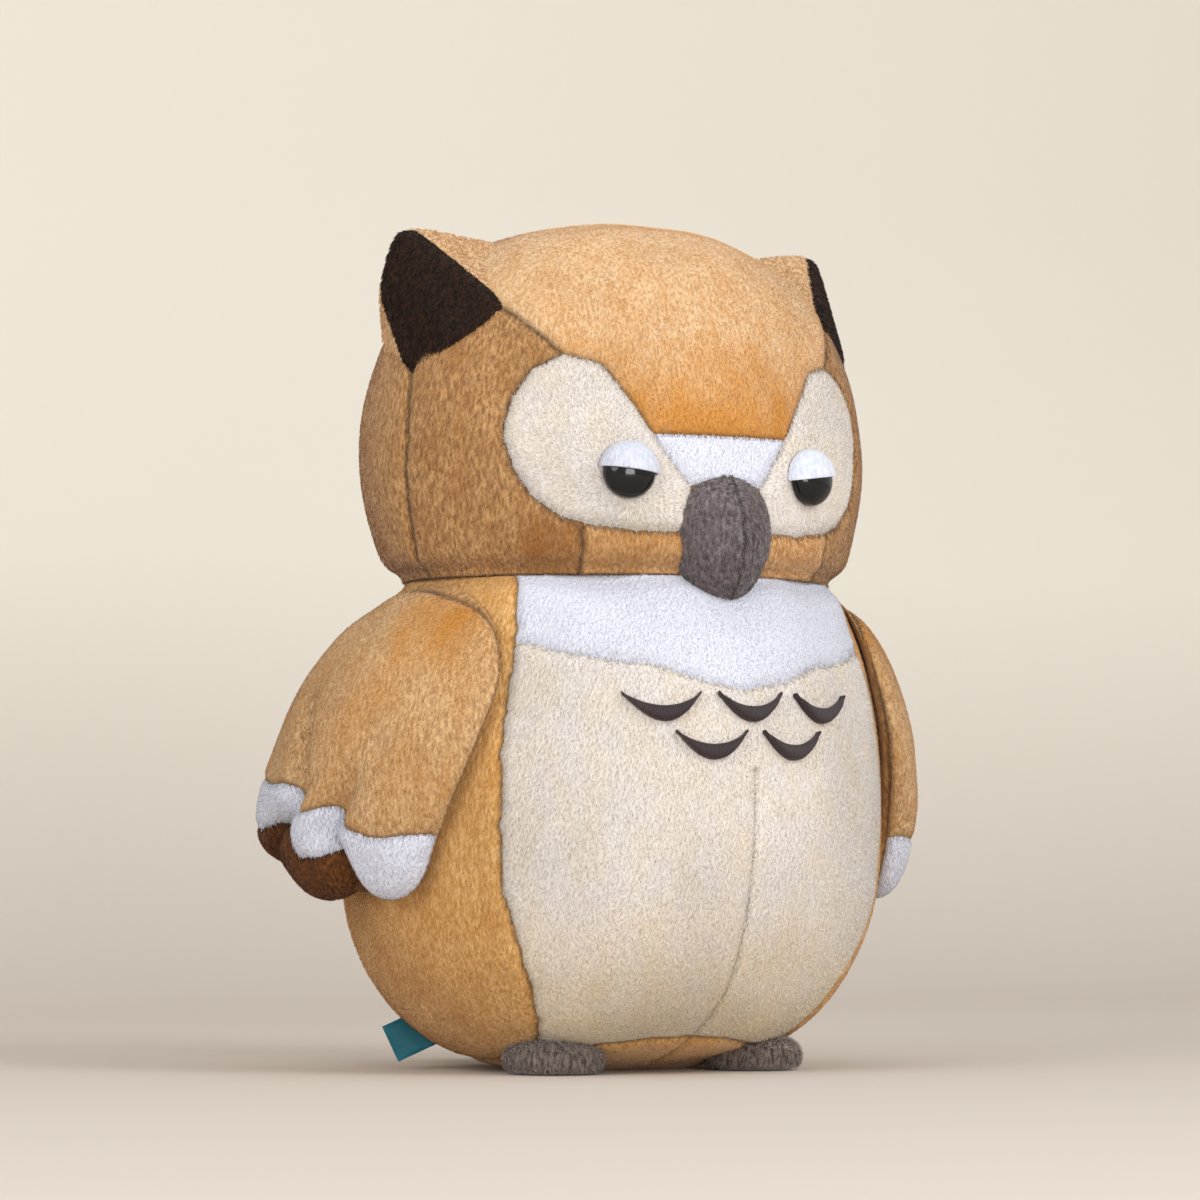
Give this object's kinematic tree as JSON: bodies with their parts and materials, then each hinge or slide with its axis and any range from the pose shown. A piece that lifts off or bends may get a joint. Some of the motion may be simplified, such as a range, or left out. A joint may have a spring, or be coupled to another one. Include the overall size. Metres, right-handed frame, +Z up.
{
  "type": "plush owl",
  "caption": "Sitting plush owl with sewn plush panels, plastic eyes under felt lids, stuffed beak, feet and ears, and hinged wings, tail and label.",
  "frame": {"origin": "on the flat of the base that the owl stands on, under the middle of its neck", "axes": "+Z up through the head, -Y the way the owl faces, its own right side at -X"},
  "size_m": [0.2824, 0.2517, 0.35],
  "materials": {
    "crown_plush": "matte",
    "side_plush": "matte",
    "cream_plush": "matte",
    "white_plush": "matte",
    "beak_plush": "matte",
    "foot_plush": "matte",
    "dark_plush": "matte",
    "tip_plush": "matte",
    "dark_thread": "matte",
    "eye_plastic": "gloss",
    "washer_plastic": "satin",
    "lid_felt": "matte",
    "label_ribbon": "satin",
    "fibre_fill": "matte"
  },
  "bodies": {
    "owl": {"head_stuffing": "fibre_fill", "body_stuffing": "fibre_fill", "eye_patch_right": "cream_plush", "eye_patch_left": "cream_plush", "brow_bridge": "white_plush", "chin_panel": "side_plush", "crown_panel": "crown_plush", "head_back_right": "side_plush", "head_back_left": "side_plush", "cheek_right": "side_plush", "cheek_left": "side_plush", "base_panel": "side_plush", "bib": "white_plush", "belly_panel": "cream_plush", "back_panel": "side_plush", "side_panel_right": "side_plush", "side_panel_left": "side_plush", "eye_right": "eye_plastic", "eye_left": "eye_plastic", "eye_washer_right": "washer_plastic", "eye_washer_left": "washer_plastic", "lid_right": "lid_felt", "lid_left": "lid_felt", "beak": "beak_plush", "foot_right": "foot_plush", "foot_left": "foot_plush", "ear_right": "crown_plush", "ear_left": "crown_plush", "ear_front_right": "dark_plush", "ear_front_left": "dark_plush", "crescent_upper_right": "dark_thread", "crescent_upper_middle": "dark_thread", "crescent_upper_left": "dark_thread", "crescent_lower_right": "dark_thread", "crescent_lower_left": "dark_thread"},
    "right_wing": {"wing_cover_right": "crown_plush", "wing_band_right": "white_plush", "wing_tips_right": "tip_plush", "wing_lining_right": "side_plush", "wing_stuffing_right": "fibre_fill"},
    "left_wing": {"wing_cover_left": "crown_plush", "wing_band_left": "white_plush", "wing_tips_left": "tip_plush", "wing_lining_left": "side_plush", "wing_stuffing_left": "fibre_fill"},
    "tail_flap": {"tail": "tip_plush"},
    "label_flap": {"side_label": "label_ribbon"}
  },
  "joints": [
    {"name": "right_wing_lift", "type": "hinge", "parent": "owl", "child": "right_wing", "pos_m": [-0.09365, 0, 0.196], "axis": [0, 1, 0], "range_deg": [0, 60]},
    {"name": "left_wing_lift", "type": "hinge", "parent": "owl", "child": "left_wing", "pos_m": [0.09365, 0, 0.196], "axis": [0, -1, 0], "range_deg": [0, 60]},
    {"name": "tail_lift", "type": "hinge", "parent": "owl", "child": "tail_flap", "pos_m": [0, 0.10239, 0.0355], "axis": [1, 0, 0], "range_deg": [0, 20]},
    {"name": "label_swing", "type": "hinge", "parent": "owl", "child": "label_flap", "pos_m": [-0.06971, 0.03864, 0.0155], "axis": [-0.3696, 0.2049, 0.9063], "range_deg": [-25, 25], "stiffness_Nm_per_rad": 0.0002}
  ]
}
